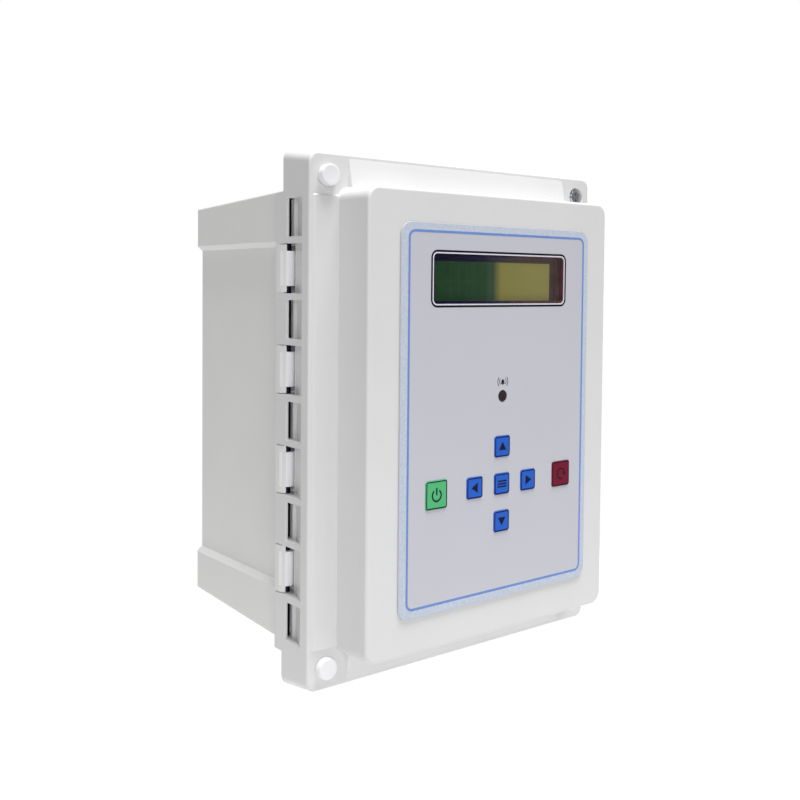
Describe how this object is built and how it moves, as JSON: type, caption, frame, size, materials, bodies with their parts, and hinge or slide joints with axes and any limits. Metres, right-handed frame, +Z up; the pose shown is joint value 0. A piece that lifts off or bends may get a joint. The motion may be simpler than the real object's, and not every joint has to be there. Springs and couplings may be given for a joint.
{
  "type": "salt chlorine generator",
  "caption": "Wall-mounted control and power unit of a salt chlorine generator: a deep box with a hinged lid, a membrane keypad, a character display and cable glands below.",
  "frame": {"origin": "centre of the flat back face, which lies on the wall", "axes": "+Y out of the back, into the wall; the lid and keypad face -Y; +Z up along the unit's height; +X to the right as seen from the front"},
  "size_m": [0.22, 0.1698, 0.3011],
  "materials": {
    "housing_white": "fine matt moulded polycarbonate, cool white",
    "lid_white": "satin moulded polycarbonate, cool white",
    "overlay_grey": "printed polyester film, pale bluish grey",
    "key_blue": "embossed film key, blue",
    "key_green": "embossed film key, green",
    "key_red": "embossed film key, dark red",
    "steel": "stainless steel",
    "zinc_plate": "zinc-plated sheet steel",
    "core_steel": "varnished steel laminations",
    "copper_winding": "taped and varnished copper winding",
    "board_green": "solder-masked fibreglass board",
    "aluminium": "extruded, plain",
    "black_plastic": "moulded, fine matt",
    "relay_blue": "moulded case",
    "grey_plastic": "moulded polyamide",
    "black_rubber": "moulded seal",
    "clear_plastic": "clear sheet",
    "gasket_grey": "foam-cast sealing strip",
    "nylon_white": "laminated film with metal domes",
    "display_green": "character display glass",
    "lamp_red": "tinted lens, unlit"
  },
  "bodies": {
    "base": {"base_housing": "housing_white", "hinge_pin": "steel", "upper_keeper": "steel", "lower_keeper": "steel", "mounting_plate": "zinc_plate", "plate_screw_1": "steel", "plate_screw_2": "steel", "plate_screw_3": "steel", "plate_screw_4": "steel", "transformer_core": "core_steel", "transformer_winding": "copper_winding", "transformer_frame": "zinc_plate", "power_board": "board_green", "board_screw_1": "steel", "board_screw_2": "steel", "board_screw_3": "steel", "board_screw_4": "steel", "heat_sink": "aluminium", "bridge_rectifier": "black_plastic", "capacitor_1": "black_plastic", "capacitor_2": "black_plastic", "relay_1": "relay_blue", "relay_2": "relay_blue", "terminal_block": "grey_plastic", "fuse_holder": "black_plastic", "fuse": "clear_plastic", "mains_gland_body": "grey_plastic", "mains_gland_seal": "black_rubber", "mains_gland_locknut": "grey_plastic", "cell_gland_body": "grey_plastic", "cell_gland_seal": "black_rubber", "cell_gland_locknut": "grey_plastic", "sensor_gland_body": "grey_plastic", "sensor_gland_seal": "black_rubber", "sensor_gland_locknut": "grey_plastic"},
    "lid": {"lid_shell": "lid_white", "lid_gasket": "gasket_grey", "upper_cap": "lid_white", "lower_cap": "lid_white", "panel_overlay": "overlay_grey", "keypad_circuit": "nylon_white", "display_window": "clear_plastic", "display_frame": "black_plastic", "display_glass": "display_green", "display_board": "board_green", "control_board": "board_green", "alarm_lamp": "lamp_red", "lamp_window": "black_plastic"},
    "upper_fastener": {"upper_fastener": "steel"},
    "lower_fastener": {"lower_fastener": "steel"},
    "up_key": {"up_key": "key_blue"},
    "down_key": {"down_key": "key_blue"},
    "left_key": {"left_key": "key_blue"},
    "right_key": {"right_key": "key_blue"},
    "centre_key": {"centre_key": "key_blue"},
    "power_key": {"power_key": "key_green"},
    "red_key": {"red_key": "key_red"},
    "mains_gland_nut": {"mains_gland_nut": "grey_plastic"},
    "cell_gland_nut": {"cell_gland_nut": "grey_plastic"},
    "sensor_gland_nut": {"sensor_gland_nut": "grey_plastic"}
  },
  "joints": [
    {"name": "lid_hinge", "type": "hinge", "parent": "base", "child": "lid", "pos_m": [-0.105, -0.112, 0], "axis": [0, 0, -1], "range_deg": [0, 120]},
    {"name": "up_key_press", "type": "slide", "parent": "lid", "child": "up_key", "axis": [0, 1, 0], "range_m": [0, 0.0004], "stiffness_N_per_m": 3000},
    {"name": "down_key_press", "type": "slide", "parent": "lid", "child": "down_key", "axis": [0, 1, 0], "range_m": [0, 0.0004], "stiffness_N_per_m": 3000},
    {"name": "left_key_press", "type": "slide", "parent": "lid", "child": "left_key", "axis": [0, 1, 0], "range_m": [0, 0.0004], "stiffness_N_per_m": 3000},
    {"name": "right_key_press", "type": "slide", "parent": "lid", "child": "right_key", "axis": [0, 1, 0], "range_m": [0, 0.0004], "stiffness_N_per_m": 3000},
    {"name": "centre_key_press", "type": "slide", "parent": "lid", "child": "centre_key", "axis": [0, 1, 0], "range_m": [0, 0.0004], "stiffness_N_per_m": 3000},
    {"name": "power_key_press", "type": "slide", "parent": "lid", "child": "power_key", "axis": [0, 1, 0], "range_m": [0, 0.0004], "stiffness_N_per_m": 3000},
    {"name": "red_key_press", "type": "slide", "parent": "lid", "child": "red_key", "axis": [0, 1, 0], "range_m": [0, 0.0004], "stiffness_N_per_m": 3000},
    {"name": "upper_fastener_turn", "type": "hinge", "parent": "lid", "child": "upper_fastener", "pos_m": [0.0983, -0.1373, 0.1333], "axis": [0, 1, 0], "range_deg": [0, 90]},
    {"name": "lower_fastener_turn", "type": "hinge", "parent": "lid", "child": "lower_fastener", "pos_m": [0.0983, -0.1373, -0.1333], "axis": [0, 1, 0], "range_deg": [0, 90]},
    {"name": "mains_gland_nut_turn", "type": "hinge", "parent": "base", "child": "mains_gland_nut", "pos_m": [-0.022, -0.065, -0.1351], "axis": [0, 0, -1], "range_deg": [0, 720]},
    {"name": "cell_gland_nut_turn", "type": "hinge", "parent": "base", "child": "cell_gland_nut", "pos_m": [0.02, -0.065, -0.1351], "axis": [0, 0, -1], "range_deg": [0, 720]},
    {"name": "sensor_gland_nut_turn", "type": "hinge", "parent": "base", "child": "sensor_gland_nut", "pos_m": [0.058, -0.065, -0.1351], "axis": [0, 0, -1], "range_deg": [0, 720]}
  ]
}
